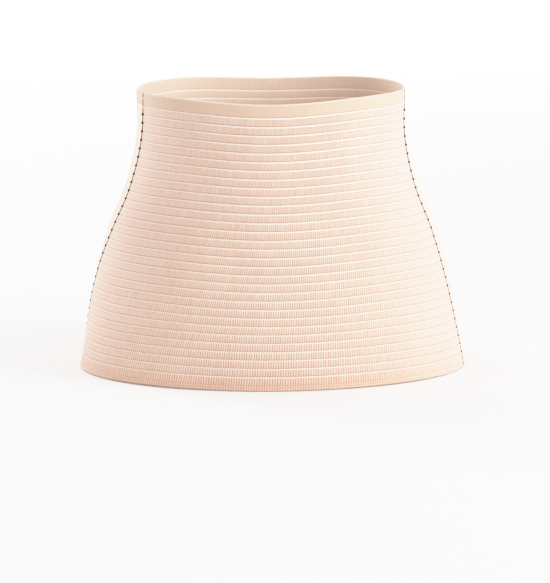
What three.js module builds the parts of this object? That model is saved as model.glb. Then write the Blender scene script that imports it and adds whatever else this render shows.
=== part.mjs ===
// A postpartum belt: a wide ribbed elastic belt in the form that it takes when worn.
// Millimetres, +Z up. The front faces -Y, and +X is on the right when seen from the front.
// The origin is on the axis of the hollow, halfway up the belt.

import * as THREE from 'three';

// Driving dimensions of the elastic
const BELT_HEIGHT = 240;
const RIB_COUNT = 30;
const EDGE_BAND_IN_RIBS = 1.6;
const WALL = 2.4;
const GROOVE_DEPTH = 1.0;
const GROOVE_WIDTH = 1.8;
const EDGE_CHAMFER = 0.5;

// The worn form at each height: outer sizes of a section that is an ellipse in front and squarer behind,
// and how far the ribs climb between the middle of the front and the sides, and at the sides.
const BODY_SECTIONS = [
  { height: -120, halfWidth: 167.3, front: 108, back: 104, flankRise: 0.6, sideRise: 0.1 },
  { height: -80, halfWidth: 160.3, front: 109.7, back: 101, flankRise: 1.0, sideRise: 1.1 },
  { height: -40, halfWidth: 152.0, front: 110.4, back: 94, flankRise: 1.5, sideRise: 2.5 },
  { height: 0, halfWidth: 140.8, front: 106.2, back: 86, flankRise: 1.6, sideRise: 2.5 },
  { height: 40, halfWidth: 125.3, front: 100, back: 80, flankRise: 2.0, sideRise: 0.6 },
  { height: 80, halfWidth: 115.9, front: 96.7, back: 77, flankRise: 1.9, sideRise: 1.1 },
  { height: 120, halfWidth: 115.3, front: 90, back: 78, flankRise: 1.8, sideRise: 2.1 },
];
const FRONT_EXPONENT = 2;
const BACK_EXPONENT = 2.3;

// The side seams, in degrees round from the middle of the front. The belt is worn a little turned,
// most of all at the hips.
const SIDE_SEAMS = [
  { height: -120, left: 98, right: 83 },
  { height: -80, left: 92, right: 80.1 },
  { height: -40, left: 85, right: 77.8 },
  { height: 0, left: 77, right: 76.6 },
  { height: 40, left: 74.6, right: 78 },
  { height: 80, left: 72.5, right: 80.6 },
  { height: 120, left: 69.5, right: 83 },
];

// The hook-and-loop tab over the two ends at the centre back
const TAB_WIDTH = 62;
const TAB_MARGIN = 5;
const TAB_THICKNESS = 1.8;
const TAB_GAP = 0.4;

// Gap between sewn pieces, and the fineness of the faces
const SEAM_GAP = 0.36;
const FRONT_COLUMNS = 22;
const BACK_COLUMNS = 9;
const TAB_COLUMNS = 3;
const GROOVES_PER_INNER_ROW = 2;
const TAB_ROWS = 16;
const ARC_STEPS = 160;
const ROUNDING = 1e-6;

const BEIGE = '#efd5c3';
const BEIGE_BACK = '#edd2bf';
const PEACH_TAB = '#e6c5ae';

const RIB_PITCH = BELT_HEIGHT / (RIB_COUNT + 2 * EDGE_BAND_IN_RIBS);
const TOP = BELT_HEIGHT / 2;
const BACK_CENTRE = 1;

// A smooth curve through the named columns of a table, read at any height.
function smoothTable(rows, columns) {
  const heights = rows.map((row) => row.height);
  const values = rows.flatMap((row) => columns.map((column) => row[column]));
  const spline = new THREE.CubicInterpolant(heights, values, columns.length);
  return (height) => {
    const found = spline.evaluate(height);
    return Object.fromEntries(columns.map((column, i) => [column, found[i]]));
  };
}

const bodyAt = smoothTable(BODY_SECTIONS, ['halfWidth', 'front', 'back', 'flankRise', 'sideRise']);
const seamAnglesAt = smoothTable(SIDE_SEAMS, ['left', 'right']);

// Half of the worn section at one height: the +X half, from the centre front round to the centre back.
class HalfSection extends THREE.Curve {
  constructor(height) {
    super();
    this.body = bodyAt(height);
    this.arcLengthDivisions = ARC_STEPS;
  }

  getPoint(share, target = new THREE.Vector2()) {
    const angle = Math.PI * share;
    const behind = angle > Math.PI / 2;
    const power = 2 / (behind ? BACK_EXPONENT : FRONT_EXPONENT);
    const across = Math.max(Math.sin(angle), 0) ** power;
    const along = Math.abs(Math.cos(angle)) ** power;
    const depth = behind ? this.body.back : -this.body.front;
    return target.set(this.body.halfWidth * across, depth * along);
  }

  // The share of the half's length at an angle in degrees from the middle of the front.
  shareAtAngle(degrees) {
    const lengths = this.getLengths();
    const step = (degrees / 180) * ARC_STEPS;
    const low = Math.min(Math.floor(step), ARC_STEPS - 1);
    const length = THREE.MathUtils.lerp(lengths[low], lengths[low + 1], step - low);
    return length / this.getLength();
  }
}

const sections = new Map();

function sectionAt(height) {
  if (!sections.has(height)) {
    sections.set(height, new HalfSection(height));
  }
  return sections.get(height);
}

// How far the weave has climbed at a share of the way from the centre front to the centre back.
function riseAt(body, share) {
  const flank = body.flankRise * Math.sin(2 * Math.PI * share) ** 2;
  const side = body.sideRise * Math.sin(Math.PI * share) ** 2;
  return flank + side;
}

// A point of the belt: a height in the weave, a signed share of the way round (+X is positive),
// and how far outside the rib crests it is.
function beltPoint(height, share, outside) {
  const section = sectionAt(height);
  const way = Math.min(Math.abs(share), 1);
  const side = Math.sign(share) || 1;
  const point = section.getPointAt(way);
  const tangent = section.getTangentAt(way);
  const x = point.x + tangent.y * outside;
  const y = point.y - tangent.x * outside;
  return new THREE.Vector3(side * x, y, height + riseAt(section.body, way));
}

// The cross-section of a ribbed wall: its outer and inner rows, from the top edge down.
function ribbedWall() {
  const outer = [
    { height: TOP, outside: -EDGE_CHAMFER },
    { height: TOP - EDGE_CHAMFER, outside: 0 },
  ];
  const inner = [{ height: TOP, outside: -WALL }];
  for (let groove = 0; groove <= RIB_COUNT; groove += 1) {
    const middle = TOP - RIB_PITCH * (EDGE_BAND_IN_RIBS + groove);
    outer.push({ height: middle + GROOVE_WIDTH / 2, outside: 0 });
    outer.push({ height: middle, outside: -GROOVE_DEPTH });
    outer.push({ height: middle - GROOVE_WIDTH / 2, outside: 0 });
    if (groove % GROOVES_PER_INNER_ROW === 0) {
      inner.push({ height: middle, outside: -WALL });
    }
  }
  outer.push({ height: EDGE_CHAMFER - TOP, outside: 0 });
  outer.push({ height: -TOP, outside: -EDGE_CHAMFER });
  inner.push({ height: -TOP, outside: -WALL });
  return { outer, inner };
}

// The cross-section of the tab: a plain tape that lies just outside the rib crests.
function tapeWall() {
  const tabTop = TOP - TAB_MARGIN;
  const heights = Array.from({ length: TAB_ROWS + 1 }, (_, row) => tabTop * (1 - (2 * row) / TAB_ROWS));
  return {
    outer: heights.map((height) => ({ height, outside: TAB_GAP + TAB_THICKNESS })),
    inner: heights.map((height) => ({ height, outside: TAB_GAP })),
  };
}

// The triangles of a wall's end, as numbers of its rows. Each joins neighbours across the wall only,
// so the end follows the wall where the wall bends.
function endTriangles({ outer, inner }) {
  const innerRow = (row) => outer.length + inner.length - 1 - row;
  const triangles = [];
  let out = 0;
  let into = 0;
  while (out < outer.length - 1 || into < inner.length - 1) {
    const lastInner = into === inner.length - 1;
    const lastOuter = out === outer.length - 1;
    const halfway = lastInner ? -Infinity : (inner[into].height + inner[into + 1].height) / 2;
    if (!lastOuter && outer[out + 1].height > halfway - ROUNDING) {
      triangles.push([out, out + 1, innerRow(into)]);
      out += 1;
    } else {
      triangles.push([out, innerRow(into + 1), innerRow(into)]);
      into += 1;
    }
  }
  return triangles;
}

// A strip of the belt: a wall's cross-section swept round it from the first column to the last.
function stripGeometry(wall, columns, shareAt) {
  const rows = [...wall.outer, ...wall.inner.toReversed()];
  const positions = [];
  for (let column = 0; column <= columns; column += 1) {
    for (const { height, outside } of rows) {
      const share = shareAt(column / columns, height);
      positions.push(...beltPoint(height, share, outside));
    }
  }
  const count = rows.length;
  const faces = [];
  for (let column = 0; column < columns; column += 1) {
    for (let row = 0; row < count; row += 1) {
      const here = column * count + row;
      const below = column * count + ((row + 1) % count);
      faces.push(here, below, below + count, here, below + count, here + count);
    }
  }
  const last = columns * count;
  for (const [a, b, c] of endTriangles(wall)) {
    faces.push(a, c, b, last + a, last + b, last + c);
  }
  const geometry = new THREE.BufferGeometry();
  geometry.setAttribute('position', new THREE.Float32BufferAttribute(positions, 3));
  geometry.setIndex(faces);
  geometry.computeVertexNormals();
  return geometry;
}

// A distance along the weave as a share of the half section at that height.
function shareOf(distance, height) {
  return distance / sectionAt(height).getLength();
}

function seamShare(side, height) {
  return sectionAt(height).shareAtAngle(seamAnglesAt(height)[side]);
}

// Where the columns of each piece lie, from its first edge at 0 to its last at 1.
function frontShare(way, height) {
  const half = SEAM_GAP / 2;
  const left = -seamShare('left', height) + shareOf(half, height);
  const right = seamShare('right', height) - shareOf(half, height);
  return THREE.MathUtils.lerp(left, right, way);
}

// The back panels have their last columns under the tab, so that the tab's faces run level with theirs.
function backShare(side, way, height) {
  const seam = seamShare(side, height) + shareOf(SEAM_GAP / 2, height);
  const tabEdge = BACK_CENTRE - shareOf(TAB_WIDTH / 2, height);
  const end = BACK_CENTRE - shareOf(SEAM_GAP / 2, height);
  const turn = BACK_COLUMNS / (BACK_COLUMNS + TAB_COLUMNS);
  if (way <= turn) {
    return THREE.MathUtils.lerp(seam, tabEdge, way / turn);
  }
  return THREE.MathUtils.lerp(tabEdge, end, (way - turn) / (1 - turn));
}

// The tab crosses the centre back from the +X side to the -X side.
function tabShare(way, height) {
  const fromCentre = (0.5 - way) * TAB_WIDTH;
  const share = BACK_CENTRE - shareOf(Math.abs(fromCentre), height);
  return fromCentre < 0 ? -share : share;
}

const ribbed = ribbedWall();
const backColumns = BACK_COLUMNS + TAB_COLUMNS;
const PIECES = [
  { name: 'front_panel', wall: ribbed, columns: FRONT_COLUMNS, shareAt: frontShare, colour: BEIGE },
  {
    name: 'back_panel_right',
    wall: ribbed,
    columns: backColumns,
    shareAt: (way, height) => backShare('right', way, height),
    colour: BEIGE_BACK,
  },
  {
    name: 'back_panel_left',
    wall: ribbed,
    columns: backColumns,
    shareAt: (way, height) => -backShare('left', 1 - way, height),
    colour: BEIGE_BACK,
  },
  { name: 'back_closure', wall: tapeWall(), columns: 2 * TAB_COLUMNS, shareAt: tabShare, colour: PEACH_TAB },
];

const belt = new THREE.Group();
for (const { name, wall, columns, shareAt, colour } of PIECES) {
  const material = new THREE.MeshStandardMaterial({ color: colour, roughness: 0.85, metalness: 0 });
  const mesh = new THREE.Mesh(stripGeometry(wall, columns, shareAt), material);
  mesh.name = name;
  belt.add(mesh);
}

export default belt;
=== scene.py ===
"""A postpartum belt: panels of ribbed elastic in their worn form, sewn at the sides and closed behind."""

import math
from collections import namedtuple
from functools import partial

import bpy
import numpy as np
from bpy.props import FloatProperty, FloatVectorProperty, IntProperty, PointerProperty
from mathutils import Matrix, Vector


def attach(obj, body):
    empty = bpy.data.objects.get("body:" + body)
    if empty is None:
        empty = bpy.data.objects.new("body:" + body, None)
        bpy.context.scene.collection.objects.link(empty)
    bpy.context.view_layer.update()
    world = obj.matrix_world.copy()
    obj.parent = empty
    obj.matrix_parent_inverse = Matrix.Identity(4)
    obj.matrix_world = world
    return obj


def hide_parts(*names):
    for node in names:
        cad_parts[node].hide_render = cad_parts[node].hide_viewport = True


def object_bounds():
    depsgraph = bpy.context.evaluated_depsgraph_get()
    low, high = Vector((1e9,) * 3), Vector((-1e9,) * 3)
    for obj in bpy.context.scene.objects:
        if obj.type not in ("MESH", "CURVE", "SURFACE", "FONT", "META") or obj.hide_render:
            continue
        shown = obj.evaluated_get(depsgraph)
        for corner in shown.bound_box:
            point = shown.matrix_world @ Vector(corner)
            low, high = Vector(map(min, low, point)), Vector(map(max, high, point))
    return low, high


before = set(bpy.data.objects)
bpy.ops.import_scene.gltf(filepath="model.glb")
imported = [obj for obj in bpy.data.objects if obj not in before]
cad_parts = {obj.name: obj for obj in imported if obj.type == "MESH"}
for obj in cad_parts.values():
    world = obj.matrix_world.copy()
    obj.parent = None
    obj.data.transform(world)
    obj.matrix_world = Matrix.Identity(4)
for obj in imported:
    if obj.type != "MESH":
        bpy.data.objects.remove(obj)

bl_info = {
    "name": "Postpartum Belt",
    "version": (1, 0, 0),
    "blender": (4, 5, 0),
    "location": "View3D > Sidebar > Belt",
    "description": "Dresses the belt's frame with woven elastic, seams, a closure tab and a plain studio",
    "category": "Object",
}

CAD_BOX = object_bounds()
BODY = "root"
MM = 0.001

# The photograph's frame, in pixels
PHOTO_WIDTH = 550
PHOTO_HEIGHT = 583

# The worn form at each height, in metres: its outer sizes, and how far the ribs climb on the flanks
# and at the sides
Section = namedtuple("Section", "height half_width front back flank_rise side_rise")
SECTIONS = [
    Section(-0.120, 0.1673, 0.1080, 0.104, 0.0006, 0.0001),
    Section(-0.080, 0.1603, 0.1097, 0.101, 0.0010, 0.0011),
    Section(-0.040, 0.1520, 0.1104, 0.094, 0.0015, 0.0025),
    Section(0.000, 0.1408, 0.1062, 0.086, 0.0016, 0.0025),
    Section(0.040, 0.1253, 0.1000, 0.080, 0.0020, 0.0006),
    Section(0.080, 0.1159, 0.0967, 0.077, 0.0019, 0.0011),
    Section(0.120, 0.1153, 0.0900, 0.078, 0.0018, 0.0021),
]
FRONT_EXPONENT = 2.0
BACK_EXPONENT = 2.3

# Where the side seams run, in degrees round from the middle of the front, and the sign of X on each side
Seam = namedtuple("Seam", "height left right")
SEAMS = [
    Seam(-0.120, 98, 83),
    Seam(-0.080, 92, 80.1),
    Seam(-0.040, 85, 77.8),
    Seam(0.000, 77, 76.6),
    Seam(0.040, 74.6, 78),
    Seam(0.080, 72.5, 80.6),
    Seam(0.120, 69.5, 83),
]
SIDES = {"left": -1, "right": 1}

# The elastic's cross-section at one groove, in millimetres: height above the groove, and depth of the
# outer and inner faces. The last two steps lie on the rib below.
GrooveStep = namedtuple("GrooveStep", "above outer inner")
GROOVE_STEPS = [
    GrooveStep(1.25, 0.48, 2.40),
    GrooveStep(1.02, 1.00, 2.36),
    GrooveStep(0.70, 1.02, 2.28),
    GrooveStep(0.38, 0.74, 2.20),
    GrooveStep(0.00, 0.66, 2.16),
    GrooveStep(-0.38, 0.70, 2.20),
    GrooveStep(-0.65, 0.58, 2.28),
    GrooveStep(-0.90, 0.46, 2.36),
    GrooveStep(-2.90, 0.42, 2.40),
    GrooveStep(-4.77, 0.42, 2.40),
]
STEPS_ON_RIB = 2

# The rolled edges, in millimetres: distance from the edge, and depth of the outer and inner faces.
# The top band is smooth.
EdgeStep = namedtuple("EdgeStep", "inwards outer inner")
TOP_STEPS = [
    EdgeStep(0.0, 0.85, 1.50),
    EdgeStep(0.3, 0.38, 1.95),
    EdgeStep(0.8, 0.14, 2.30),
    EdgeStep(1.3, 0.20, 2.40),
    EdgeStep(4.0, 0.16, 2.40),
    EdgeStep(9.6, 0.16, 2.40),
]
BOTTOM_STEPS = [
    EdgeStep(8.0, 0.42, 2.40),
    EdgeStep(4.0, 0.42, 2.40),
    EdgeStep(1.3, 0.42, 2.40),
    EdgeStep(0.8, 0.36, 2.30),
    EdgeStep(0.3, 0.55, 1.95),
    EdgeStep(0.0, 0.95, 1.50),
]

# Faces of the elastic that lie deeper than this are bare of cords
BARE_DEPTH = 0.6 * MM

# Edges of a wall that turn by more than this are shaded as sharp
SHARP_ANGLE = math.radians(55)

# How soon the lines open, their fade being partly painted light, and the cords stand up away from a seam, and
# what parts the panels' seeds
FADE_POWER = 1.6
SEED_STEP = 10

# The bottom edge, in millimetres above it: where the upright cords end, and the slanted rows of the hem.
# The last upright row fills a little less of its pitch than the rows above.
UPRIGHT_END = 4.6
LAST_ROW_FILL = 0.9
HEM_LEAN = math.radians(-38)
HemRow = namedtuple("HemRow", "above length relief fill")
HEM_ROWS = [
    HemRow(3.5, 2.7, 0.9, 0.62),
    HemRow(1.4, 2.1, 0.8, 0.66),
]

# The seam thread, dark partly as painted shadow of the seam's valley: its stitches over each edge band, the
# share of a rib that one covers, and its root
EDGE_STITCHES = 2
STITCH_COVER = 0.96
THREAD_ROOT = 0.45 * MM

# The seam's dark dots, painted shadow of the small holes where the grooves meet the seam: their root, their
# height above the grooves, and their relief as a share of their width
HOLE_SHADOW_ROOT = 0.15 * MM
HOLE_SHADOW_LIFT = 0.9 * MM
HOLE_SHADOW_RELIEF = 0.9

# The tab: the share of its thickness that is rounded off at its edge, and the size of its stitches
TAB_ROUNDING = 0.55
TAB_STITCH_WIDTH = 0.6 * MM
TAB_STITCH_RELIEF = 0.4 * MM
TAB_STITCH_SINK = 0.1 * MM
ACROSS = math.radians(90)

# Small steps that find how the cloth slopes: a height up it, a share of the way round at a seam,
# and a share of the way across the tab
CLIMB_STEP = 0.25 * MM
SEAM_STEP = 0.0005
TAB_STEP = 0.005

# A unit cord: its outline across, where its two rings lie along it, and its flat ends
CORD_OUTLINE = [(-0.5, 0.0), (-0.36, 0.66), (0.0, 1.0), (0.36, 0.66), (0.5, 0.0)]
CORD_RING_AT = 0.36
CORD_END_AT = 0.5
CORD_END_HALF = 0.24

# A unit dot for the painted hole shadows: its sides round, and its bands from end to end
HOLE_SHADOW_SIDES = 8
HOLE_SHADOW_BANDS = 5

# Masks of the weave, in ribs: each is full up to its first place and gone from its second
Mask = namedtuple("Mask", "full gone")
TOP_EDGE = Mask(0.10, 0.18)
TOP_BAND = Mask(-0.20, -0.15)
# Painted shade: a dark line under each rib, just above its pale line, and along the bottom edge
CREASE_SHADE = Mask(0.02, 0.06)
BOTTOM_EDGE_SHADE = Mask(0.05, 0.12)
CREASE_SHADE_ABOVE_LINE = 0.05
LINE_SOFTNESS = 0.04
HEM_SOFTNESS = 0.08
TOP_EDGE_PALE = 0.45

# The ground cloth: how far its beads show in the pale lines, how strong the painted shade of its creases is,
# and how far the pale lines are smoother than the rest
LINE_BEADING = 0.12
CREASE_SHADE_OUTSIDE = 0.7
CREASE_SHADE_INSIDE = 0.15
CREASE_SHADE_BY_SEAM = 0.5
LINE_SMOOTHNESS = 0.6

# Cloth grain: how much finer it is than the broad mottling, and its share of it
GRAIN_FINENESS = 60.0
GRAIN_SHARE = 0.7

# Spun yarn: twist along a cord, how dark the painted shade in the furrows between strands is, and where a
# cord's sides darken with painted shade
YARN_TWIST = 0.35
YARN_FURROW_SHADE = 0.06
YARN_MIDDLE = Mask(0.22, 0.5)

# Brushed tape: how dark and of what colour it is between its loops
LOOP_SHADE = 0.45
LOOP_SHADOW = (0.35, 0.22, 0.15)

# How each cloth takes the light: strength and height of its bump, roughness and sheen
Cloth = namedtuple("Cloth", "bump height roughness sheen")
GROUND_CLOTH = Cloth(0.35, 0.25 * MM, 0.85, 0.5)
CORD_CLOTH = Cloth(0.40, 0.12 * MM, 0.78, 0.5)
THREAD_CLOTH = Cloth(0.60, 0.10 * MM, 0.60, 0.1)
TAPE_CLOTH = Cloth(0.60, 0.35 * MM, 0.95, 0.4)

# The soft lamps of the studio: two turned to the belt, and one over the floor behind it
Lamp = namedtuple("Lamp", "name place target size spread")
LAMPS = [
    Lamp("key", (2.25, -1.0, 0.8), (0.0, 0.0, 0.0), 1.6, 180),
    Lamp("rim", (-1.45, 1.05, 0.5), (0.0, 0.0, 0.0), 0.8, 180),
    Lamp("backdrop", (0.0, 2.9, 2.6), (0.0, 2.9, 0.0), 1.6, 65),
]

# The studio floor, how far the camera sees, and where the tone curve has points, in shares of its knee
FLOOR_HALF = 9.0
FLOOR_DROP = 0.5 * MM
CAMERA_REACH = 100.0
TONE_SHARES = (0.25, 0.5, 1.0, 1.25, 1.5, 1.8, 2.2)


def linear(red, green, blue):
    """A screen colour of 0 to 255 as the linear colour that shaders take."""
    shares = (value / 255 for value in (red, green, blue))
    return tuple(s / 12.92 if s <= 0.04045 else ((s + 0.055) / 1.055) ** 2.4 for s in shares)


def count_setting(name, description, default, **limits):
    """A whole-number property."""
    return IntProperty(name=name, description=description, default=default, **limits)


def number_setting(name, description, default, **extras):
    """A number property, with a unit, a subtype or limits where it has them."""
    return FloatProperty(name=name, description=description, default=default, **extras)


def length_setting(name, description, millimetres):
    """A length property whose default is given in millimetres."""
    return number_setting(name, description, millimetres * MM, precision=5, unit="LENGTH")


def colour_setting(name, description, red, green, blue):
    """A colour property whose default is given as a screen colour."""
    default = linear(red, green, blue)
    return FloatVectorProperty(
        name=name, description=description, default=default, size=3, subtype="COLOR", min=0, max=1
    )


class BELT_PG_form(bpy.types.PropertyGroup):
    """Sizes of the worn form"""

    height: length_setting("Height", "Height of the belt from edge to edge", 240)
    ribs: count_setting("Ribs", "Number of ribs between the edge bands", 30, min=4)
    edge_band: number_setting("Edge band", "Height of each plain edge band, in ribs", 1.6)
    seam_gap: length_setting("Seam gap", "Gap between neighbouring panels", 0.12)


class BELT_PG_elastic(bpy.types.PropertyGroup):
    """Sizes and colours of the woven elastic"""

    front_cords: count_setting("Front cords", "Upright cords across the front panel", 202)
    back_cords: count_setting("Back cords", "Upright cords across each back panel", 101)
    front_columns: count_setting("Front columns", "Faces across the front panel", 72)
    back_columns: count_setting("Back columns", "Faces across each back panel", 36)
    cord_fill: number_setting("Cord fill", "Share of the pitch that a cord fills at the top", 0.88)
    cord_fill_low: number_setting("Low cord fill", "Share of the pitch at the bottom", 0.78)
    cord_root: length_setting("Cord root", "Depth at which a cord is rooted in the ground cloth", 0.56)
    cord_relief: length_setting("Cord relief", "How far a cord stands up from its root", 0.60)
    below_groove: length_setting("Below groove", "Distance from a groove to the rib below it", 0.66)
    above_groove: length_setting("Above groove", "Distance from a groove to the rib above it", 1.22)
    strip: number_setting("Seam strip", "Width of the plain strip by each seam, in cords", 8.0)
    strip_depth: length_setting("Strip depth", "Depth of the plain strip's face", 0.30)
    # Partly painted light: besides closing up, the lines fade by the seams as the sides' light and shade
    # flatten them
    seam_fade: number_setting("Seam fade", "How far the lines close up at the seams", 0.75)
    fade_cords: number_setting("Fade width", "Cords over which the lines close up", 95.0)
    flatten: number_setting("Flatten", "How far the cords lie down at the seams", 0.8)
    variation: number_setting("Variation", "Random share of each cord's size", 0.05)
    seed: count_setting("Seed", "Seed of the cords' variation", 7)
    cord: colour_setting("Cord", "Colour of the upright cords", 243, 212, 197)
    cord_tint: colour_setting("Cord tint", "Second colour of the upright cords", 238, 203, 186)
    # The ground colour is partly the cloth's own and partly painted shade in the gaps between the cords
    ground: colour_setting("Ground", "Colour of the ground cloth between the cords", 198, 164, 144)
    band: colour_setting("Band", "Colour of the smooth top band", 211, 181, 161)
    # The closed line colour is partly painted shade: it darkens the sides by the seams
    closed: colour_setting("Closed line", "Colour of the lines that close up by the seams", 219, 186, 174)
    strip_colour: colour_setting("Strip", "Colour of the plain strips by the seams", 234, 205, 183)
    hem: colour_setting("Hem", "Colour of the ground cloth along the bottom edge", 204, 162, 134)
    pale_line: colour_setting("Pale line", "Colour of the bare elastic in the grooves", 255, 243, 232)
    # The low line colour is painted shade: the pale lines darken towards the bottom, away from the light
    # above
    pale_low_shaded: colour_setting("Low line", "Colour of the bare elastic in the lowest groove", 251, 228, 213)
    # The crease colour is painted shade, under each rib and along the bottom edge
    crease_shade: colour_setting("Crease", "Colour of the crease under each rib", 198, 168, 153)
    inside: colour_setting("Inside", "Colour of the inner face", 230, 204, 186)
    front_flat: length_setting("Front flat width", "Width of the front panel before it is stretched", 310)
    back_flat: length_setting("Back flat width", "Width of each back panel before it is stretched", 176)


class BELT_PG_seams(bpy.types.PropertyGroup):
    """Sizes and colours of the side seams"""

    thread: length_setting("Thread", "Width of the seam thread at the top", 0.7)
    thread_low: length_setting("Low thread", "Width of the seam thread at the bottom", 0.45)
    # Dots of painted shadow in the small holes where the grooves meet the seam
    hole_shadow: length_setting("Knot", "Width of a knot at the first groove", 2.7)
    hole_shadow_low: length_setting("Low knot", "Width of a knot at the last groove", 1.6)
    # The thread's dark colour is partly its own and partly painted shadow of the seam's valley
    colour: colour_setting("Thread colour", "Colour of the seam thread", 70, 58, 53)
    # The dots' colour is painted shadow
    hole_shadow_colour: colour_setting("Knot colour", "Colour of the knots", 60, 48, 43)


class BELT_PG_closure(bpy.types.PropertyGroup):
    """Sizes and colours of the tab at the centre back"""

    columns: count_setting("Columns", "Faces across the tab", 32)
    width: length_setting("Width", "Width of the tab", 62)
    margin: length_setting("Margin", "Distance of the tab from the belt's edges", 5)
    gap: length_setting("Gap", "Gap between the tab and the ribs", 0.4)
    thickness: length_setting("Thickness", "Thickness of the tab", 1.8)
    edge: length_setting("Edge", "Width of the rounded edge, which is pressed onto the elastic", 1.4)
    press: length_setting("Press", "Gap left under the pressed edge", 0.12)
    inset: length_setting("Stitch inset", "Distance of the outer stitch row from the tab's edge", 3.5)
    row_gap: length_setting("Row gap", "Distance between the two stitch rows", 3.0)
    stitch: length_setting("Stitch", "Length of a stitch", 3.2)
    pitch: length_setting("Stitch pitch", "Distance between stitches", 4.0)
    colour: colour_setting("Tape colour", "Colour of the brushed loop face", 228, 194, 170)
    thread: colour_setting("Stitch colour", "Colour of the stitches", 240, 214, 196)


class BELT_PG_stage(bpy.types.PropertyGroup):
    """The plain studio and its camera"""

    distance: length_setting("Distance", "Level distance of the camera from the belt's axis", 3000)
    lift: length_setting("Lift", "Height of the camera above the middle of the belt", 551)
    focal_pixels: number_setting("Focal length", "Focal length in photo pixels", 3535)
    centre_x: number_setting("Centre across", "Photo pixel column of the belt's middle", 272.0)
    centre_y: number_setting("Centre down", "Photo pixel row of the belt's middle", 227.6)
    roll: number_setting("Roll", "Roll of the camera", math.radians(0.38), subtype="ANGLE")
    floor: colour_setting("Floor", "Colour of the floor", 250, 249, 248)
    world_colour: colour_setting("World colour", "Colour of the light all round", 255, 255, 255)
    world: number_setting("World", "Strength of the light all round", 0.97)
    key: number_setting("Key", "Power of the key light at the right", 56.0, unit="POWER")
    rim: number_setting("Rim", "Power of the rim light at the left", 18.0, unit="POWER")
    backdrop: number_setting("Backdrop", "Power of the light on the floor", 26.0, unit="POWER")
    knee: number_setting("Knee", "Brightness above which tones roll off", 0.7, max=0.95)
    reach: number_setting("Reach", "Brightness that is shown as white", 2.0)


def smooth(rows, column, height):
    """A smooth curve through one column of an evenly spaced table, read at a height."""
    values = [getattr(row, column) for row in rows]
    values = [2 * values[0] - values[1], *values, 2 * values[-1] - values[-2]]
    place = (height - rows[0].height) / (rows[1].height - rows[0].height)
    low = min(max(math.floor(place), 0), len(rows) - 2)
    p = place - low
    before, start, end, after = values[low : low + 4]
    bend = 2 * before - 5 * start + 4 * end - after
    twist = 3 * (start - end) + after - before
    return start + 0.5 * p * (end - before + p * (bend + p * twist))


class HalfRing:
    """Half of the worn section at one height, from the centre front round to the centre back."""

    STEPS = 720

    def __init__(self, height):
        self.turn = np.linspace(0, 1, self.STEPS + 1)
        angle = np.pi * self.turn
        behind = angle > np.pi / 2
        power = 2 / np.where(behind, BACK_EXPONENT, FRONT_EXPONENT)
        depth = np.where(behind, smooth(SECTIONS, "back", height), -smooth(SECTIONS, "front", height))
        self.x = smooth(SECTIONS, "half_width", height) * np.maximum(np.sin(angle), 0) ** power
        self.y = depth * np.abs(np.cos(angle)) ** power
        steps = np.hypot(np.diff(self.x), np.diff(self.y))
        run = np.concatenate([[0], np.cumsum(steps)])
        self.length = run[-1]
        self.way = run / self.length
        slope_x, slope_y = np.gradient(self.x, run), np.gradient(self.y, run)
        size = np.hypot(slope_x, slope_y)
        self.out_x, self.out_y = slope_y / size, -slope_x / size
        self.flank_rise = smooth(SECTIONS, "flank_rise", height)
        self.side_rise = smooth(SECTIONS, "side_rise", height)

    def way_at(self, degrees):
        """The share of the half's length at an angle from the middle of the front."""
        return float(np.interp(degrees / 180, self.turn, self.way))


class WornForm:
    """The belt's outer face: a height in the weave and a share of the way round give a place on it."""

    def __init__(self, form):
        self.top = form.height / 2
        self.pitch = form.height / (form.ribs + 2 * form.edge_band)
        self.ribs = form.ribs
        self.edge_band = form.edge_band
        self.half_gap = form.seam_gap / 2
        self.rings = {}

    def ring(self, height):
        if height not in self.rings:
            self.rings[height] = HalfRing(height)
        return self.rings[height]

    def groove(self, number):
        """The height of a groove, counted from the top."""
        return self.top - self.pitch * (self.edge_band + number)

    def row(self, height):
        """A height counted in ribs down from the first groove."""
        return (self.top - height) / self.pitch - self.edge_band

    def places(self, height, shares, outside):
        """Places at one height and several signed shares of the way round; +X is positive."""
        ring = self.ring(height)
        way = np.minimum(np.abs(shares), 1)
        side = np.where(shares < 0, -1, 1)
        x = np.interp(way, ring.way, ring.x) + outside * np.interp(way, ring.way, ring.out_x)
        y = np.interp(way, ring.way, ring.y) + outside * np.interp(way, ring.way, ring.out_y)
        flank = ring.flank_rise * np.sin(2 * np.pi * way) ** 2
        z = height + flank + ring.side_rise * np.sin(np.pi * way) ** 2
        return np.stack([side * x, y, z], axis=-1)

    def seam(self, side, height):
        """The share of the way round to a side seam."""
        return self.ring(height).way_at(smooth(SEAMS, side, height))

    def gap_share(self, height):
        """Half of the gap between panels, as a share of the way round."""
        return self.half_gap / self.ring(height).length


def front_span(worn, height):
    gap = worn.gap_share(height)
    return -worn.seam("left", height) + gap, worn.seam("right", height) - gap


def back_right_span(worn, height):
    gap = worn.gap_share(height)
    return worn.seam("right", height) + gap, 1 - gap


def back_left_span(worn, height):
    gap = worn.gap_share(height)
    return gap - 1, -worn.seam("left", height) - gap


# The panels, each with the end of its span that has a plain strip by the side seam
Panel = namedtuple("Panel", "node sheet cords span strip_end")
PANELS = [
    Panel("front_panel", "front_elastic", "front_cords", front_span, None),
    Panel("back_panel_left", "back_elastic_left", "back_cords_left", back_left_span, 1),
    Panel("back_panel_right", "back_elastic_right", "back_cords_right", back_right_span, 0),
]


def panel_sizes(panel, elastic):
    """How many columns of faces and cords a panel has, and its flat width."""
    if panel.strip_end is None:
        return elastic.front_columns, elastic.front_cords, elastic.front_flat
    return elastic.back_columns, elastic.back_cords, elastic.back_flat


def panel_shares(worn, panel, height, ways):
    """Shares of the way round at ways from 0 to 1 across a panel."""
    first, last = panel.span(worn, height)
    return first + (last - first) * ways


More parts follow.
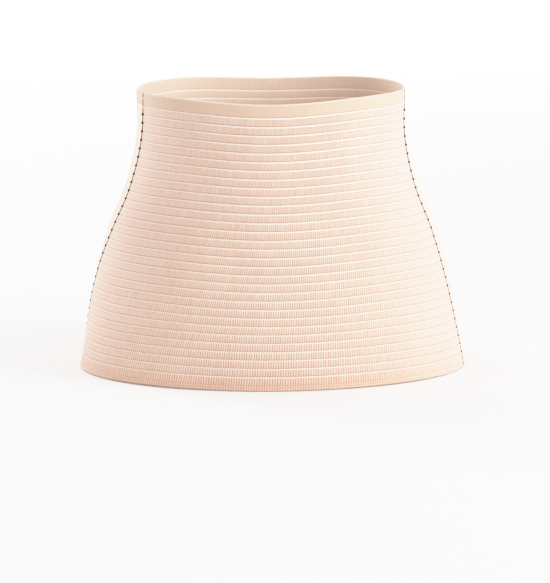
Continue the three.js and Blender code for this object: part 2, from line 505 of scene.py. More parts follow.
def seam_shares(worn, side, height, ways):
    """Shares of the way round at small ways off a side seam."""
    return SIDES[side] * worn.seam(side, height) + ways


def tab_shares(worn, closure, height, ways):
    """Shares of the way round across the tab, from its +X edge over the centre back to its -X edge."""
    from_centre = (0.5 - ways) * closure.width / worn.ring(height).length
    return np.where(from_centre >= 0, 1 - from_centre, -1 - from_centre)


def plain_share(panel, ways, cords, elastic):
    """How plain a panel is at ways across it: 1 in its strip by the seam, fading to 0 farther in."""
    if panel.strip_end is None:
        from_seam = np.minimum(ways, 1 - ways) * cords
        strip = 0.0
    else:
        from_seam = np.abs(ways - panel.strip_end) * cords
        strip = np.clip(elastic.strip + 1 - from_seam, 0, 1)
    fade = elastic.seam_fade * np.clip(1 - from_seam / elastic.fade_cords, 0, 1) ** FADE_POWER
    return np.maximum(strip, fade)


def link_object(name, mesh):
    """A new object of a mesh, at the origin."""
    piece = bpy.data.objects.new(name, mesh)
    bpy.context.scene.collection.objects.link(piece)
    return piece


def wall_faces(rows, columns):
    """The faces of a closed wall: its outer grid, its inner grid and the rims between them."""
    count = rows * columns
    number = np.arange(count).reshape(rows, columns)
    corners = [number[:-1, :-1], number[1:, :-1], number[1:, 1:], number[:-1, 1:]]
    front = np.stack(corners, axis=-1).reshape(-1, 4)

    def rim(start, end):
        return np.stack([start, end, end + count, start + count], axis=-1)

    upper, lower = number[0], number[-1]
    left, right = number[:, 0], number[:, -1]
    rims = [
        rim(upper[:-1], upper[1:]),
        rim(lower[1:], lower[:-1]),
        rim(left[1:], left[:-1]),
        rim(right[:-1], right[1:]),
    ]
    return np.concatenate([front, front[:, ::-1] + count, *rims])


def wall_mesh(name, outer, inner, uv, plain):
    """A closed wall from two grids of places, rows from the top down and columns along the belt."""
    rows, columns, _ = outer.shape
    places = np.concatenate([outer.reshape(-1, 3), inner.reshape(-1, 3)])
    mesh = bpy.data.meshes.new(name)
    mesh.from_pydata(places.tolist(), [], wall_faces(rows, columns).tolist())
    corners = np.empty(len(mesh.loops), dtype=np.int32)
    mesh.loops.foreach_get("vertex_index", corners)
    spread = np.concatenate([uv.reshape(-1, 2)] * 2)
    mesh.uv_layers.new(name="weave").uv.foreach_set("vector", spread[corners].astype(np.float32).ravel())
    marks = {"inside": np.repeat([0.0, 1.0], rows * columns), "plain": np.tile(plain, 2 * rows)}
    for mark, values in marks.items():
        mesh.attributes.new(mark, "FLOAT", "POINT").data.foreach_set("value", values.astype(np.float32))
    mesh.shade_smooth()
    mesh.set_sharp_from_angle(angle=SHARP_ANGLE)
    if mesh.validate():
        raise RuntimeError(f"{name}: the wall has faces that don't hold together")
    return mesh


WallRow = namedtuple("WallRow", "height outer inner grooved")


def wall_rows(worn):
    """The elastic's cross-section from the top edge down."""
    rows = [WallRow(worn.top - step.inwards * MM, step.outer, step.inner, False) for step in TOP_STEPS]
    for number in range(worn.ribs + 1):
        steps = GROOVE_STEPS[:-STEPS_ON_RIB] if number == worn.ribs else GROOVE_STEPS
        middle = worn.groove(number)
        rows += [WallRow(middle + step.above * MM, step.outer, step.inner, True) for step in steps]
    rows += [WallRow(step.inwards * MM - worn.top, step.outer, step.inner, False) for step in BOTTOM_STEPS]
    return rows


def elastic_sheet(worn, panel, columns, cords, elastic):
    """The ground cloth of one panel: a closed wall with its grooves, rolled edges and plain strip."""
    ways = np.linspace(0, 1, columns + 1)
    if panel.strip_end is not None:
        edge_of_strip = np.array([elastic.strip, elastic.strip + 1]) / cords
        ways = np.sort(np.concatenate([ways, np.abs(panel.strip_end - edge_of_strip)]))
    plain = plain_share(panel, ways, cords, elastic)
    outer, inner, uv = [], [], []
    for row in wall_rows(worn):
        shares = panel_shares(worn, panel, row.height, ways)
        depth = np.full_like(ways, row.outer * MM)
        if row.grooved:
            depth += plain * (elastic.strip_depth - depth)
        outer.append(worn.places(row.height, shares, -depth))
        inner.append(worn.places(row.height, shares, -row.inner * MM))
        uv.append(np.stack([ways * cords, np.full_like(ways, worn.row(row.height))], axis=-1))
    return wall_mesh(panel.sheet, np.array(outer), np.array(inner), np.array(uv), plain)


# Where shapes are stood: places, which way each faces and points up, and its size
Cells = namedtuple("Cells", "place out up size")

# A row of cells: the height of its middle, its length, its lean, and its shares of relief and pitch
CordRow = namedtuple("CordRow", "middle length lean relief fill", defaults=(0.0, 1.0, 1.0))

# What cells follow: shares of the way round at a height, half a step along, and the depth of their roots
Track = namedtuple("Track", "shares_at half_step root")


def join_cells(parts):
    """Several sets of cells as one."""
    return Cells(*(np.concatenate(columns) for columns in zip(*parts)))


def cord_rows(worn, elastic):
    """The rows of upright cords, which spread towards the hips, and the slanted rows of the hem."""
    uppers = [worn.groove(number) - elastic.below_groove for number in range(worn.ribs + 1)]
    lowers = [worn.groove(number + 1) + elastic.above_groove for number in range(worn.ribs)]
    lowers.append(UPRIGHT_END * MM - worn.top)
    fills = np.linspace(elastic.cord_fill, elastic.cord_fill_low, worn.ribs + 1)
    fills[-1] *= LAST_ROW_FILL
    rows = []
    for upper, lower, fill in zip(uppers, lowers, fills):
        rows.append(CordRow((upper + lower) / 2, upper - lower, fill=fill))
    for row in HEM_ROWS:
        rows.append(CordRow(row.above * MM - worn.top, row.length * MM, HEM_LEAN, row.relief, row.fill))
    return rows


def row_cells(worn, track, row, ways, relief):
    """The cells of one row: where each cord stands, which way it faces and its size."""

    def places(height, at):
        return worn.places(height, track.shares_at(height, at), -track.root)

    along = places(row.middle, ways + track.half_step) - places(row.middle, ways - track.half_step)
    rise = places(row.middle + CLIMB_STEP, ways) - places(row.middle - CLIMB_STEP, ways)
    pitch = np.linalg.norm(along, axis=1, keepdims=True)
    climb = np.linalg.norm(rise, axis=1, keepdims=True)
    out = np.cross(along / pitch, rise / climb)
    out /= np.linalg.norm(out, axis=1, keepdims=True)
    up = rise / climb * math.cos(row.lean) + along / pitch * math.sin(row.lean)
    length = climb / (2 * CLIMB_STEP) * row.length
    size = np.hstack([pitch * row.fill, length, relief[:, None] * row.relief])
    return Cells(places(row.middle, ways), out, up, size)


def single_cell(worn, track, row, way, width, relief):
    """One cell with a width of its own."""
    cell = row_cells(worn, track, row, np.array([way]), np.array([relief]))
    cell.size[:, 0] = width
    return cell


def cord_cells(worn, panel, cords, elastic):
    """The cells of a panel's cords, which lie flatter towards the seams and stop at a plain strip."""
    ways = (np.arange(cords) + 0.5) / cords
    plain = plain_share(panel, ways, cords, elastic)
    woven = plain <= elastic.seam_fade
    relief = elastic.cord_relief * (1 - elastic.flatten * plain[woven])
    track = Track(partial(panel_shares, worn, panel), 0.5 / cords, elastic.cord_root)
    return join_cells(row_cells(worn, track, row, ways[woven], relief) for row in cord_rows(worn, elastic))


def shape_object(name, points, faces):
    """A small closed shape to be repeated, with UVs across and along it."""
    mesh = bpy.data.meshes.new(name)
    mesh.from_pydata(points, [], faces)
    layer = mesh.uv_layers.new(name="strand")
    for loop in mesh.loops:
        x, y, _ = points[loop.vertex_index]
        layer.uv[loop.index].vector = (x + 0.5, y + 0.5)
    mesh.shade_smooth()
    return bpy.data.objects.new(name, mesh)


def cord_shape():
    """A short upright cord of unit size with rounded ends: X across, Y along, Z out from its root."""
    points = [(x, y, z) for y in (-CORD_RING_AT, CORD_RING_AT) for x, z in CORD_OUTLINE]
    points += [(x, y, 0.0) for y in (-CORD_END_AT, CORD_END_AT) for x in (-CORD_END_HALF, CORD_END_HALF)]
    faces = [(i, i + 1, i + 6, i + 5) for i in range(4)]
    faces += [(10, 1, 0), (10, 2, 1), (10, 11, 2), (11, 3, 2), (11, 4, 3)]
    faces += [(12, 5, 6), (12, 6, 7), (12, 7, 13), (13, 7, 8), (13, 8, 9)]
    faces += [(0, 4, 11, 10), (0, 5, 9, 4), (5, 12, 13, 9)]
    return shape_object("cord_shape", points, faces)


def knot_shape():
    """A small round dot of unit size, for the painted hole shadows."""
    points = [(0.0, 0.0, -0.5)]
    for ring in range(1, HOLE_SHADOW_BANDS):
        polar = math.pi * ring / HOLE_SHADOW_BANDS
        for side in range(HOLE_SHADOW_SIDES):
            turn = 2 * math.pi * side / HOLE_SHADOW_SIDES
            flat = 0.5 * math.sin(polar)
            points.append((flat * math.cos(turn), flat * math.sin(turn), -0.5 * math.cos(polar)))
    points.append((0.0, 0.0, 0.5))
    last = len(points) - 1
    faces = []
    for side in range(HOLE_SHADOW_SIDES):
        after = (side + 1) % HOLE_SHADOW_SIDES
        faces.append((0, 1 + after, 1 + side))
        faces.append((last, last - HOLE_SHADOW_SIDES + side, last - HOLE_SHADOW_SIDES + after))
        for ring in range(HOLE_SHADOW_BANDS - 2):
            low = 1 + ring * HOLE_SHADOW_SIDES
            high = low + HOLE_SHADOW_SIDES
            faces.append((low + side, low + after, high + after, high + side))
    return shape_object("knot_shape", points, faces)


class NodeWriter:
    """Adds nodes to a tree, sets their inputs and joins them."""

    def __init__(self, tree):
        self.tree = tree

    def add(self, kind, inputs=None, **settings):
        """A new node; inputs are values or sockets by name or number."""
        node = self.tree.nodes.new(kind)
        for name, value in settings.items():
            setattr(node, name, value)
        for key, value in (inputs or {}).items():
            self.join(value, node.inputs[key])
        return node

    def join(self, value, socket):
        """Links a socket to another, or sets its value."""
        if isinstance(value, bpy.types.NodeSocket):
            self.tree.links.new(value, socket)
        else:
            socket.default_value = value

    def math(self, operation, *values):
        """The result of a Math node."""
        return self.add("ShaderNodeMath", dict(enumerate(values)), operation=operation).outputs[0]

    def scale(self, vector, factor):
        """A vector or a colour times a number."""
        return self.add("ShaderNodeVectorMath", {0: vector, "Scale": factor}, operation="SCALE").outputs[0]

    def mix(self, share, first, second):
        """A mix of two colours."""
        node = self.add("ShaderNodeMix", data_type="RGBA")
        sockets = {s.identifier: s for s in node.inputs}
        self.join(share, sockets["Factor_Float"])
        self.join(first, sockets["A_Color"])
        self.join(second, sockets["B_Color"])
        return next(s for s in node.outputs if s.identifier == "Result_Color")

    def fade(self, value, start, end):
        """A smooth fall from 1 at start to 0 at end."""
        inputs = {"Value": value, "From Min": start, "From Max": end, "To Min": 1.0, "To Max": 0.0}
        return self.add("ShaderNodeMapRange", inputs, interpolation_type="SMOOTHSTEP").outputs[0]

    def random(self, low, high, seed):
        """A random number for each element. The node's number sockets come after its vector ones."""
        inputs = {2: low, 3: high, "Seed": seed}
        return self.add("FunctionNodeRandomValue", inputs, data_type="FLOAT").outputs[1]

    def uv(self, layer):
        """The two coordinates of a UV layer."""
        place = self.add("ShaderNodeUVMap", uv_map=layer).outputs[0]
        across, along, _ = self.add("ShaderNodeSeparateXYZ", {0: place}).outputs
        return across, along

    def attribute(self, name):
        """A number that the mesh carries."""
        return self.add("ShaderNodeAttribute", attribute_name=name).outputs["Fac"]

    def group(self, name, inputs):
        """The outputs of a node group placed with its own values."""
        return self.add("ShaderNodeGroup", inputs, node_tree=node_group(name)).outputs


def stand_on_cells(write, given):
    """Stands a shape on every cell, each with a little variation in size and a random shade."""

    def cell(mark):
        node = write.add("GeometryNodeInputNamedAttribute", {"Name": mark}, data_type="FLOAT_VECTOR")
        return node.outputs["Attribute"]

    axes = {"Primary Axis": cell("out"), "Secondary Axis": cell("up")}
    facing = write.add("FunctionNodeAxesToRotation", axes, primary_axis="Z", secondary_axis="Y")
    low = write.math("SUBTRACT", 1.0, given["Variation"])
    high = write.math("ADD", 1.0, given["Variation"])
    shape = write.add("GeometryNodeObjectInfo", {"Object": given["Shape"]}, transform_space="ORIGINAL")
    standing = {
        "Points": given["Cells"],
        "Instance": shape.outputs["Geometry"],
        "Rotation": facing.outputs[0],
        "Scale": write.scale(cell("size"), write.random(low, high, given["Seed"])),
    }
    stood = write.add("GeometryNodeInstanceOnPoints", standing)
    shade = write.random(0.0, 1.0, write.math("ADD", given["Seed"], 1.0))
    marked = {"Geometry": stood.outputs[0], "Name": "shade", "Value": shade}
    kept = write.add("GeometryNodeStoreNamedAttribute", marked, data_type="FLOAT", domain="INSTANCE")
    realized = write.add("GeometryNodeRealizeInstances", {"Geometry": kept.outputs[0]})
    dressing = {"Geometry": realized.outputs[0], "Material": given["Material"]}
    return {"Geometry": write.add("GeometryNodeSetMaterial", dressing).outputs[0]}


def find_rib_rows(write, given):
    """Finds the parts of the weave from its row coordinate, which is counted from the first groove."""
    row, pale_half = given["Row"], given["Pale half"]
    nearest = write.math("MINIMUM", write.math("ROUND", row), given["Last row"])
    below = write.math("SUBTRACT", row, write.math("MAXIMUM", 0.0, nearest))
    line_end = write.math("ADD", pale_half, LINE_SOFTNESS)
    line = write.fade(write.math("ABSOLUTE", below), pale_half, line_end)
    top_edge = write.fade(write.math("ADD", row, given["Edge band"]), *TOP_EDGE)
    bottom = write.math("ADD", given["Last row"], given["Edge band"])
    from_bottom = write.math("SUBTRACT", bottom, row)
    # Painted shade under each rib, just above its pale line, and along the bottom edge
    from_crease_shade = write.math("ADD", below, write.math("ADD", pale_half, CREASE_SHADE_ABOVE_LINE))
    crease_shade = write.fade(write.math("ABSOLUTE", from_crease_shade), *CREASE_SHADE)
    hem_end = write.math("ADD", given["Hem"], HEM_SOFTNESS)
    return {
        "Pale": write.math("MAXIMUM", line, write.math("MULTIPLY", top_edge, TOP_EDGE_PALE)),
        "Crease": write.math("MAXIMUM", crease_shade, write.fade(from_bottom, *BOTTOM_EDGE_SHADE)),
        "Band": write.fade(row, *TOP_BAND),
        "Hem": write.fade(from_bottom, given["Hem"], hem_end),
    }


def mottle_cloth(write, given):
    """Varies a cloth's colour a little from place to place, with a finer grain for its bump."""
    place = write.add("ShaderNodeTexCoord").outputs["Object"]
    broad = write.add("ShaderNodeTexNoise", {"Vector": place, "Scale": given["Scale"], "Detail": 3.0})
    fine_scale = write.math("MULTIPLY", given["Scale"], GRAIN_FINENESS)
    fine = write.add("ShaderNodeTexNoise", {"Vector": place, "Scale": fine_scale, "Detail": 2.0})
    sway = write.math("SUBTRACT", broad.outputs[0], 0.5)
    grain = write.math("MULTIPLY", write.math("SUBTRACT", fine.outputs[0], 0.5), GRAIN_SHARE)
    level = write.math("MULTIPLY_ADD", write.math("ADD", sway, grain), given["Amount"], 1.0)
    return {"Colour": write.scale(given["Colour"], level), "Height": fine.outputs[0]}


def spin_yarn(write, given):
    """Draws fine strands along a cord, with painted shade in the furrows between them and towards the cord's
    sides.
    """
    across, along = write.uv("strand")
    twisted = write.math("MULTIPLY_ADD", along, YARN_TWIST, across)
    turns = write.math("MULTIPLY", write.math("MULTIPLY", twisted, given["Strands"]), 2 * math.pi)
    height = write.math("MULTIPLY_ADD", write.math("SINE", turns), 0.5, 0.5)
    off_middle = write.math("ABSOLUTE", write.math("SUBTRACT", across, 0.5))
    side = write.math("SUBTRACT", 1.0, write.fade(off_middle, *YARN_MIDDLE))
    darker = write.math("MULTIPLY", side, given["Side shade"])
    # Painted shade in the furrows between strands
    furrow_shade = write.math("MULTIPLY", write.math("SUBTRACT", 1.0, height), YARN_FURROW_SHADE)
    level = write.math("SUBTRACT", write.math("SUBTRACT", 1.0, darker), furrow_shade)
    return {"Colour": write.scale(given["Colour"], level), "Height": height}


# The node groups: what writes their nodes, and their sockets by name and kind
NodeGroup = namedtuple("NodeGroup", "tree fill inputs outputs")
NODE_GROUPS = {
    "repeat_on_cells": NodeGroup(
        "GeometryNodeTree",
        stand_on_cells,
        {"Cells": "Geometry", "Shape": "Object", "Variation": "Float", "Seed": "Int", "Material": "Material"},
        {"Geometry": "Geometry"},
    ),
    "rib_rows": NodeGroup(
        "ShaderNodeTree",
        find_rib_rows,
        {"Row": "Float", "Last row": "Float", "Edge band": "Float", "Hem": "Float", "Pale half": "Float"},
        {"Pale": "Float", "Crease": "Float", "Band": "Float", "Hem": "Float"},
    ),
    "cloth_mottle": NodeGroup(
        "ShaderNodeTree",
        mottle_cloth,
        {"Colour": "Color", "Scale": "Float", "Amount": "Float"},
        {"Colour": "Color", "Height": "Float"},
    ),
    "yarn_strands": NodeGroup(
        "ShaderNodeTree",
        spin_yarn,
        {"Colour": "Color", "Strands": "Float", "Side shade": "Float"},
        {"Colour": "Color", "Height": "Float"},
    ),
}


def node_group(name):
    """The node group of a name, made the first time it is asked for."""
    if name in bpy.data.node_groups:
        return bpy.data.node_groups[name]
    group = NODE_GROUPS[name]
    tree = bpy.data.node_groups.new(name, group.tree)
    for direction, sockets in (("INPUT", group.inputs), ("OUTPUT", group.outputs)):
        for socket, kind in sockets.items():
            tree.interface.new_socket(socket, in_out=direction, socket_type=f"NodeSocket{kind}")
    write = NodeWriter(tree)
    results = group.fill(write, write.add("NodeGroupInput").outputs)
    write.add("NodeGroupOutput", results)
    return tree


def repeated_piece(name, cells, shape, material, variation=0.0, seed=0):
    """A plain mesh piece with a shape stood on every cell."""
    marks = ("out", "up", "size")
    mesh = bpy.data.meshes.new(f"{name}_cells")
    mesh.vertices.add(len(cells.place))
    mesh.vertices.foreach_set("co", cells.place.astype(np.float32).ravel())
    for mark in marks:
        layer = mesh.attributes.new(mark, "FLOAT_VECTOR", "POINT")
        layer.data.foreach_set("vector", getattr(cells, mark).astype(np.float32).ravel())
    piece = link_object(name, mesh)
    bpy.context.scene.collection.objects.link(shape)
    tree = node_group("repeat_on_cells")
    modifier = piece.modifiers.new("repeat", "NODES")
    modifier.node_group = tree
    values = {"Shape": shape, "Variation": variation, "Seed": seed, "Material": material}
    for item in tree.interface.items_tree:
        if item.in_out == "INPUT" and item.name in values:
            modifier[item.identifier] = values[item.name]
    graph = bpy.context.evaluated_depsgraph_get()
    plain = bpy.data.meshes.new_from_object(
        piece.evaluated_get(graph), preserve_all_data_layers=True, depsgraph=graph
    )
    piece.modifiers.clear()
    piece.data = plain
    plain.name = name
    for mark in marks:
        if mark in plain.attributes:
            plain.attributes.remove(plain.attributes[mark])
    for spent in (mesh, shape.data):
        bpy.data.meshes.remove(spent)
    if not plain.polygons:
        raise RuntimeError(f"{name}: no shape was stood on its cells")
    return piece


def new_material(name):
    """A material with its Principled shader, and a writer for its nodes."""
    material = bpy.data.materials.new(name)
    material.use_nodes = True
    shader = material.node_tree.nodes["Principled BSDF"]
    return material, shader, NodeWriter(material.node_tree)


def finish_cloth(write, shader, cloth, colour, height):
    """Gives a cloth its colour and bump, and the values that are the same all over it."""
    bump = write.add("ShaderNodeBump", {"Strength": cloth.bump, "Distance": cloth.height, "Height": height})
    write.join(colour, shader.inputs["Base Color"])
    write.join(bump.outputs[0], shader.inputs["Normal"])
    shader.inputs["Roughness"].default_value = cloth.roughness
    shader.inputs["Specular IOR Level"].default_value = 0.25
    shader.inputs["Sheen Weight"].default_value = cloth.sheen
    shader.inputs["Sheen Roughness"].default_value = 0.5


def rgba(colour):
    return (*colour, 1.0)


def elastic_ground_material(elastic, worn):
    """Ground cloth: dark between the cords, partly its own colour and partly painted shade; pale bare elastic
    in the grooves, darker towards the bottom as painted shade; and painted shade of a crease above each line
    and along the bottom edge.
    """
    material, shader, write = new_material("elastic_ground")
    across, row = write.uv("weave")
    ribs = float(worn.ribs)
    layout = {"Row": row, "Last row": ribs, "Edge band": worn.edge_band, "Hem": 1.42, "Pale half": 0.06}
    rows = write.group("rib_rows", layout)
    inside = write.attribute("inside")
    plain = write.attribute("plain")
    bead = write.math("COSINE", write.math("MULTIPLY", across, 2 * math.pi))
    beading = write.math("MULTIPLY_ADD", bead, LINE_BEADING, 1 - LINE_BEADING)
    # The pale lines fade by the seams, partly as painted light
    woven = write.math("SUBTRACT", 1.0, plain)
    line = write.math("MULTIPLY", write.math("MULTIPLY", rows["Pale"], beading), woven)
    # The pale lines darken row by row towards the bottom: painted shade
    pale = write.mix(write.math("DIVIDE", row, ribs), rgba(elastic.pale_line), rgba(elastic.pale_low_shaded))
    # Painted shade of the creases, weaker on the inner face and by the seams
    depth = write.math("MULTIPLY_ADD", inside, CREASE_SHADE_INSIDE - CREASE_SHADE_OUTSIDE, CREASE_SHADE_OUTSIDE)
    by_seam = write.math("MULTIPLY_ADD", plain, CREASE_SHADE_BY_SEAM - 1, 1.0)
    crease_shade = write.math("MULTIPLY", write.math("MULTIPLY", rows["Crease"], depth), by_seam)
    colour = rgba(elastic.ground)
    coats = [
        (rows["Hem"], rgba(elastic.hem)),
        # By the seams the cloth takes the closed colour, partly painted shade of the sides
        (plain, rgba(elastic.closed)),
        (write.fade(plain, 1.0, elastic.seam_fade), rgba(elastic.strip_colour)),
        (rows["Band"], rgba(elastic.band)),
        (inside, rgba(elastic.inside)),
        (line, pale),
        (crease_shade, rgba(elastic.crease_shade)),
    ]
    for share, coat in coats:
        colour = write.mix(share, colour, coat)
    mottle = write.group("cloth_mottle", {"Colour": colour, "Scale": 25.0, "Amount": 0.12})
    ribbing = write.math("MULTIPLY", bead, write.math("MULTIPLY_ADD", rows["Pale"], -LINE_SMOOTHNESS, 1.0))
    height = write.math("ADD", ribbing, mottle["Height"])
    finish_cloth(write, shader, GROUND_CLOTH, mottle["Colour"], height)
    return material


def elastic_cord_material(elastic):
    """Upright cords of spun yarn in two close tones."""
    material, shader, write = new_material("elastic_cord")
    tone = write.mix(write.attribute("shade"), rgba(elastic.cord), rgba(elastic.cord_tint))
    yarn = write.group("yarn_strands", {"Colour": tone, "Strands": 4.0, "Side shade": 0.28})
    mottle = write.group("cloth_mottle", {"Colour": yarn["Colour"], "Scale": 22.0, "Amount": 0.10})
    finish_cloth(write, shader, CORD_CLOTH, mottle["Colour"], yarn["Height"])
    return material


def thread_material(name, colour):
    """Sewing thread with a visible twist."""
    material, shader, write = new_material(name)
    yarn = write.group("yarn_strands", {"Colour": rgba(colour), "Strands": 2.0, "Side shade": 0.35})
    finish_cloth(write, shader, THREAD_CLOTH, yarn["Colour"], yarn["Height"])
    return material


def closure_tape_material(closure):
    """Brushed loop tape: a soft pile over a plain ground."""
    material, shader, write = new_material("closure_tape")
    place = write.add("ShaderNodeTexCoord").outputs["Object"]
    loops = write.add("ShaderNodeTexVoronoi", {"Vector": place, "Scale": 1100.0, "Randomness": 1.0})
    from_loop = loops.outputs["Distance"]
    mottle = write.group("cloth_mottle", {"Colour": rgba(closure.colour), "Scale": 40.0, "Amount": 0.22})
    shade = write.math("MULTIPLY", from_loop, LOOP_SHADE)
    colour = write.mix(shade, mottle["Colour"], rgba(LOOP_SHADOW))
    height = write.math("ADD", write.math("SUBTRACT", 1.0, from_loop), mottle["Height"])
    finish_cloth(write, shader, TAPE_CLOTH, colour, height)
    return material


def floor_material(colour):
    """A plain pale studio floor."""
    material, shader, write = new_material("studio_floor")
    mottle = write.group("cloth_mottle", {"Colour": rgba(colour), "Scale": 2.0, "Amount": 0.02})
    write.join(mottle["Colour"], shader.inputs["Base Color"])
    shader.inputs["Roughness"].default_value = 0.9
    shader.inputs["Specular IOR Level"].default_value = 0.1
    return material


def settle(piece):
    """Puts a finished piece on the belt's one body."""
    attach(piece, BODY)


class BELT_OT_panels(bpy.types.Operator):
    """Make the three elastic panels with their woven cords"""

    bl_idname = "belt.panels"
    bl_label = "Elastic Panels"

    def execute(self, context):
        elastic = context.scene.belt_elastic
        worn = WornForm(context.scene.belt_form)
        ground = elastic_ground_material(elastic, worn)
        yarn = elastic_cord_material(elastic)
        for number, panel in enumerate(PANELS):
            columns, cords, flat = panel_sizes(panel, elastic)
            sheet = link_object(panel.sheet, elastic_sheet(worn, panel, columns, cords, elastic))
            sheet.data.materials.append(ground)
            cells = cord_cells(worn, panel, cords, elastic)
            seed = elastic.seed + SEED_STEP * number
            weave = repeated_piece(panel.cords, cells, cord_shape(), yarn, elastic.variation, seed)
            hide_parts(panel.node)
            settle(sheet)
            settle(weave)
        return {"FINISHED"}


class BELT_OT_seams(bpy.types.Operator):
    """Sew the two side seams with dark thread, partly painted shadow of the seam, and dots of painted shadow
    in the holes at the grooves
    """

    bl_idname = "belt.seams"
    bl_label = "Side Seams"

    def execute(self, context):
        seams = context.scene.belt_seams
        worn = WornForm(context.scene.belt_form)
        # Dark thread, partly painted shadow of the seam's valley, and dots of painted shadow in the holes at
        # the grooves
        thread = thread_material("seam_thread", seams.colour)
        hole_shadow_material = thread_material("seam_knot", seams.hole_shadow_colour)
        for side in SIDES:
            stitches = join_cells(self.stitch_cells(worn, seams, side))
            hole_shadows = join_cells(self.hole_shadow_cells(worn, seams, side))
            line = repeated_piece(f"seam_thread_{side}", stitches, cord_shape(), thread)
            dots = repeated_piece(f"seam_knots_{side}", hole_shadows, knot_shape(), hole_shadow_material)
            settle(line)
            settle(dots)
        return {"FINISHED"}

    def stitch_cells(self, worn, seams, side):
        """A stitch along every rib and over the edge bands, thinner towards the bottom."""
        track = Track(partial(seam_shares, worn, side), SEAM_STEP, THREAD_ROOT)
        numbers = range(-EDGE_STITCHES, worn.ribs + EDGE_STITCHES)
        for number, width in zip(numbers, np.linspace(seams.thread, seams.thread_low, len(numbers))):
            upper = min(worn.groove(number), worn.top)
            lower = max(worn.groove(number + 1), -worn.top)
            row = CordRow((upper + lower) / 2, (upper - lower) * STITCH_COVER)
            yield single_cell(worn, track, row, 0.0, width, width)

    def hole_shadow_cells(self, worn, seams, side):
        """A dot of painted shadow by every groove but the first, in the small hole there, smaller towards the
        bottom.
        """
        track = Track(partial(seam_shares, worn, side), SEAM_STEP, HOLE_SHADOW_ROOT)
        widths = np.linspace(seams.hole_shadow, seams.hole_shadow_low, worn.ribs + 1)
        for number in range(1, worn.ribs + 1):
            row = CordRow(worn.groove(number) + HOLE_SHADOW_LIFT, widths[number])
            yield single_cell(worn, track, row, 0.0, widths[number], widths[number] * HOLE_SHADOW_RELIEF)


class BELT_OT_closure(bpy.types.Operator):
    """Make the hook-and-loop tab at the centre back with its stitches"""

    bl_idname = "belt.closure"
    bl_label = "Closure Tab"

    def execute(self, context):
        closure = context.scene.belt_closure
        worn = WornForm(context.scene.belt_form)
        top = worn.top - closure.margin
        tab = link_object("closure_tab", self.tab_mesh(worn, closure, top))
        tab.data.materials.append(closure_tape_material(closure))
        cells = join_cells(self.stitch_cells(worn, closure, top))
        thread = thread_material("closure_thread", closure.thread)
        stitches = repeated_piece("closure_stitches", cells, cord_shape(), thread)
        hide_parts("back_closure")
        settle(tab)
        settle(stitches)
        return {"FINISHED"}

    def tab_mesh(self, worn, closure, top):
        """The tab's tape, with its edge rounded off and pressed onto the elastic."""
        ways = np.linspace(0, 1, closure.columns + 1)
        outer, inner, uv = [], [], []
        for height, depth in self.tab_rows(worn, closure, top):
            shares = tab_shares(worn, closure, height, ways)
            from_edge = np.minimum(np.minimum(ways, 1 - ways) * closure.width, top - abs(height))
            rounding = 1 - np.clip(from_edge / closure.edge, 0, 1)
            drop = TAB_ROUNDING * closure.thickness * rounding**2
            pressed = rounding * (closure.gap + depth - closure.press)
            outer.append(worn.places(height, shares, closure.gap + closure.thickness - drop))
            inner.append(worn.places(height, shares, closure.gap - pressed))
            uv.append(np.stack([ways, np.full_like(ways, height)], axis=-1))
        return wall_mesh("closure_tab", np.array(outer), np.array(inner), np.array(uv), np.ones_like(ways))

    def tab_rows(self, worn, closure, top):
        """Heights down the tab, each with how deep the elastic lies bare there: 0 on the ribs."""
        straight = top - closure.edge
        rows = [(row.height, row.outer * MM) for row in wall_rows(worn) if abs(row.height) < straight]
        rows = [(height, depth if depth > BARE_DEPTH else 0.0) for height, depth in rows]
        return [(top, 0.0), (straight, 0.0), *rows, (-straight, 0.0), (-top, 0.0)]

    def stitch_cells(self, worn, closure, top):
        """Two rows of stitches all round the tab."""
        root = -(closure.gap + closure.thickness - TAB_STITCH_SINK)
        track = Track(partial(tab_shares, worn, closure), TAB_STEP, root)
        size = (TAB_STITCH_WIDTH, TAB_STITCH_RELIEF)
        for inset in (closure.inset, closure.inset + closure.row_gap):
            side = inset / closure.width
            high = top - inset
            for height in np.linspace(high, -high, round(2 * high / closure.pitch)):
                row = CordRow(float(height), closure.stitch)
                for way in (side, 1 - side):
                    yield single_cell(worn, track, row, way, *size)
            count = round((closure.width - 2 * inset) / closure.pitch)
            for way in np.linspace(side, 1 - side, count)[1:-1]:
                for height in (high, -high):
                    yield single_cell(worn, track, CordRow(height, closure.stitch, ACROSS), way, *size)


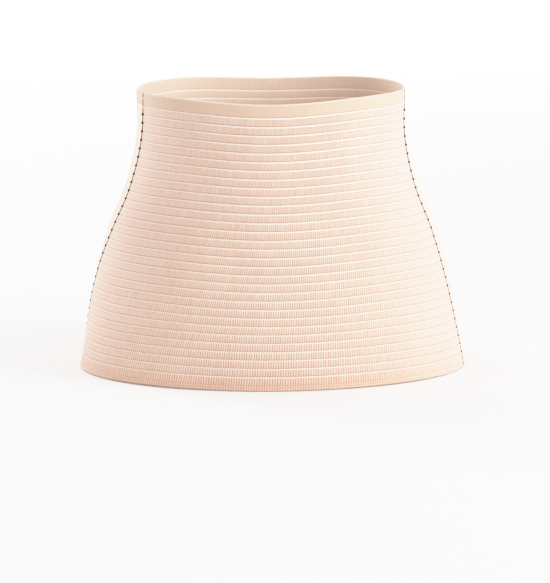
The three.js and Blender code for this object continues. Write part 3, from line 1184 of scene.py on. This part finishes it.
class BELT_OT_stage(bpy.types.Operator):
    """Set the floor, the soft studio light and the camera"""

    bl_idname = "belt.stage"
    bl_label = "Studio"

    def execute(self, context):
        stage = context.scene.belt_stage
        self.lay_floor(stage)
        self.light(context.scene, stage)
        context.scene.camera = self.place_camera(stage)
        self.soften_highlights(context.scene.view_settings, stage)
        return {"FINISHED"}

    def soften_highlights(self, view, stage):
        """Plain tones up to the knee, and above it a soft roll-off to white."""
        view.view_transform = "Standard"
        view.use_curve_mapping = True
        mapping = view.curve_mapping
        mapping.white_level = (stage.reach,) * 3
        tones = mapping.curves[3]
        room = 1 - stage.knee
        for share in TONE_SHARES:
            light = share * stage.knee
            shown = light if share <= 1 else stage.knee + room * (1 - math.exp((stage.knee - light) / room))
            tones.points.new(light / stage.reach, shown)
        mapping.update()

    def lay_floor(self, stage):
        """A wide floor just under the belt."""
        half = FLOOR_HALF
        level = CAD_BOX[0][2] - FLOOR_DROP
        corners = [(-half, -half, level), (half, -half, level), (half, half, level), (-half, half, level)]
        mesh = bpy.data.meshes.new("floor")
        mesh.from_pydata(corners, [], [(0, 1, 2, 3)])
        mesh.materials.append(floor_material(stage.floor))
        link_object("floor", mesh)

    def light(self, scene, stage):
        """Even light all round, and the soft lamps."""
        world = bpy.data.worlds.new("studio")
        world.use_nodes = True
        background = world.node_tree.nodes["Background"]
        background.inputs["Color"].default_value = rgba(stage.world_colour)
        background.inputs["Strength"].default_value = stage.world
        scene.world = world
        for lamp in LAMPS:
            disk = bpy.data.lights.new(lamp.name, "AREA")
            disk.shape = "DISK"
            disk.size = lamp.size
            disk.spread = math.radians(lamp.spread)
            disk.energy = getattr(stage, lamp.name)
            light = bpy.data.objects.new(lamp.name, disk)
            light.location = lamp.place
            aim = Vector(lamp.target) - Vector(lamp.place)
            light.rotation_euler = aim.to_track_quat("-Z", "Y").to_euler()
            scene.collection.objects.link(light)

    def place_camera(self, stage):
        """A camera that shows the belt's middle at the photograph's pixel."""
        lens = bpy.data.cameras.new("camera")
        lens.sensor_fit = "VERTICAL"
        lens.lens = lens.sensor_height * stage.focal_pixels / PHOTO_HEIGHT
        lens.clip_end = CAMERA_REACH
        place = Vector((0.0, -stage.distance, stage.lift))
        right = Vector((1.0, 0.0, 0.0))
        ahead = -place.normalized()
        up = right.cross(ahead)
        across = (PHOTO_WIDTH / 2 - stage.centre_x) / stage.focal_pixels
        down = (PHOTO_HEIGHT / 2 - stage.centre_y) / stage.focal_pixels
        ahead = (ahead + right * across - up * down).normalized()
        up = (up - ahead * up.dot(ahead)).normalized()
        right = ahead.cross(up)
        turn = Matrix((right, up, -ahead)).transposed() @ Matrix.Rotation(-stage.roll, 3, "Z")
        camera = bpy.data.objects.new("camera", lens)
        camera.matrix_world = Matrix.Translation(place) @ turn.to_4x4()
        bpy.context.scene.collection.objects.link(camera)
        return camera


class BELT_PT_sidebar(bpy.types.Panel):
    """The belt's pieces and their settings"""

    bl_label = "Postpartum Belt"
    bl_space_type = "VIEW_3D"
    bl_region_type = "UI"
    bl_category = "Belt"

    def draw(self, context):
        for operator, names in STEPS:
            box = self.layout.box()
            box.operator(operator.bl_idname)
            for settings in names:
                group = getattr(context.scene, settings)
                for name in group.__annotations__:
                    box.prop(group, name)


SETTINGS = {
    "belt_form": BELT_PG_form,
    "belt_elastic": BELT_PG_elastic,
    "belt_seams": BELT_PG_seams,
    "belt_closure": BELT_PG_closure,
    "belt_stage": BELT_PG_stage,
}
STEPS = [
    (BELT_OT_panels, ["belt_form", "belt_elastic"]),
    (BELT_OT_seams, ["belt_seams"]),
    (BELT_OT_closure, ["belt_closure"]),
    (BELT_OT_stage, ["belt_stage"]),
]
CLASSES = [*SETTINGS.values(), *(operator for operator, _ in STEPS), BELT_PT_sidebar]


def register():
    for cls in CLASSES:
        bpy.utils.register_class(cls)
    for name, group in SETTINGS.items():
        setattr(bpy.types.Scene, name, PointerProperty(type=group))


def unregister():
    for name in SETTINGS:
        delattr(bpy.types.Scene, name)
    for cls in reversed(CLASSES):
        bpy.utils.unregister_class(cls)


def main():
    register()
    bpy.ops.belt.panels()
    bpy.ops.belt.seams()
    bpy.ops.belt.closure()
    bpy.ops.belt.stage()


if __name__ == "__main__":
    main()
